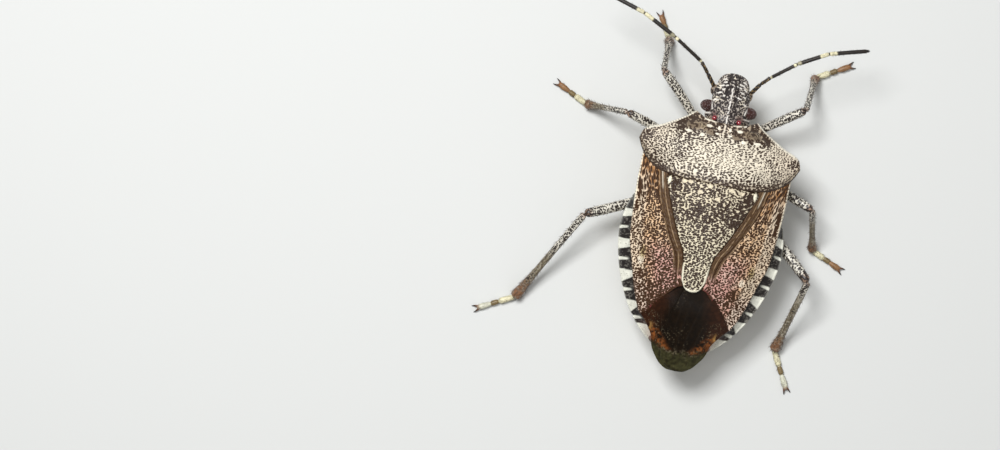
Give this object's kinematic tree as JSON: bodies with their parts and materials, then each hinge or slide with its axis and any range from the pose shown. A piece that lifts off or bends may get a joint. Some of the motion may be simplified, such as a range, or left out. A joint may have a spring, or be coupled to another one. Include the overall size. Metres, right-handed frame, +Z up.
{
  "type": "shield bug",
  "caption": "Life-size shield bug, standing on its feet with legs and banded feelers spread: mottled grey-brown back, black and white striped sides and dark wing tips, as a still display model.",
  "frame": {"origin": "on the floor, under the middle of the whole bug's bounding box, feelers and legs included", "axes": "+Z up, +Y the way the bug's head points, +X to the bug's right"},
  "size_m": [0.0186, 0.0182, 0.0056],
  "materials": {
    "back": "satin shell, cream with dark punctures",
    "wing": "satin leathery wing, brown with dark punctures",
    "membrane": "smooth smoky wing tip",
    "underside": "satin shell, pale with dark specks and banded edges",
    "head": "satin shell, dark with pale flecks",
    "eye": "glossy, faceted",
    "leg": "satin, mottled pale and dark",
    "foot": "satin, pale with dark claws",
    "feeler": "satin, dark with pale bands"
  },
  "bodies": {
    "root": {"abdomen": "underside", "thorax": "underside", "head": "head", "rostrum": "leg", "pronotum": "back", "scutellum": "back", "corium_left": "wing", "corium_right": "wing", "membrane_left": "membrane", "membrane_right": "membrane", "eye_left": "eye", "eye_right": "eye", "antenna_left": "feeler", "antenna_right": "feeler", "femur_fore_left": "leg", "tibia_fore_left": "leg", "tarsus_fore_left": "foot", "femur_fore_right": "leg", "tibia_fore_right": "leg", "tarsus_fore_right": "foot", "femur_mid_left": "leg", "tibia_mid_left": "leg", "tarsus_mid_left": "foot", "femur_mid_right": "leg", "tibia_mid_right": "leg", "tarsus_mid_right": "foot", "femur_hind_left": "leg", "tibia_hind_left": "leg", "tarsus_hind_left": "foot", "femur_hind_right": "leg", "tibia_hind_right": "leg", "tarsus_hind_right": "foot"}
  },
  "joints": []
}
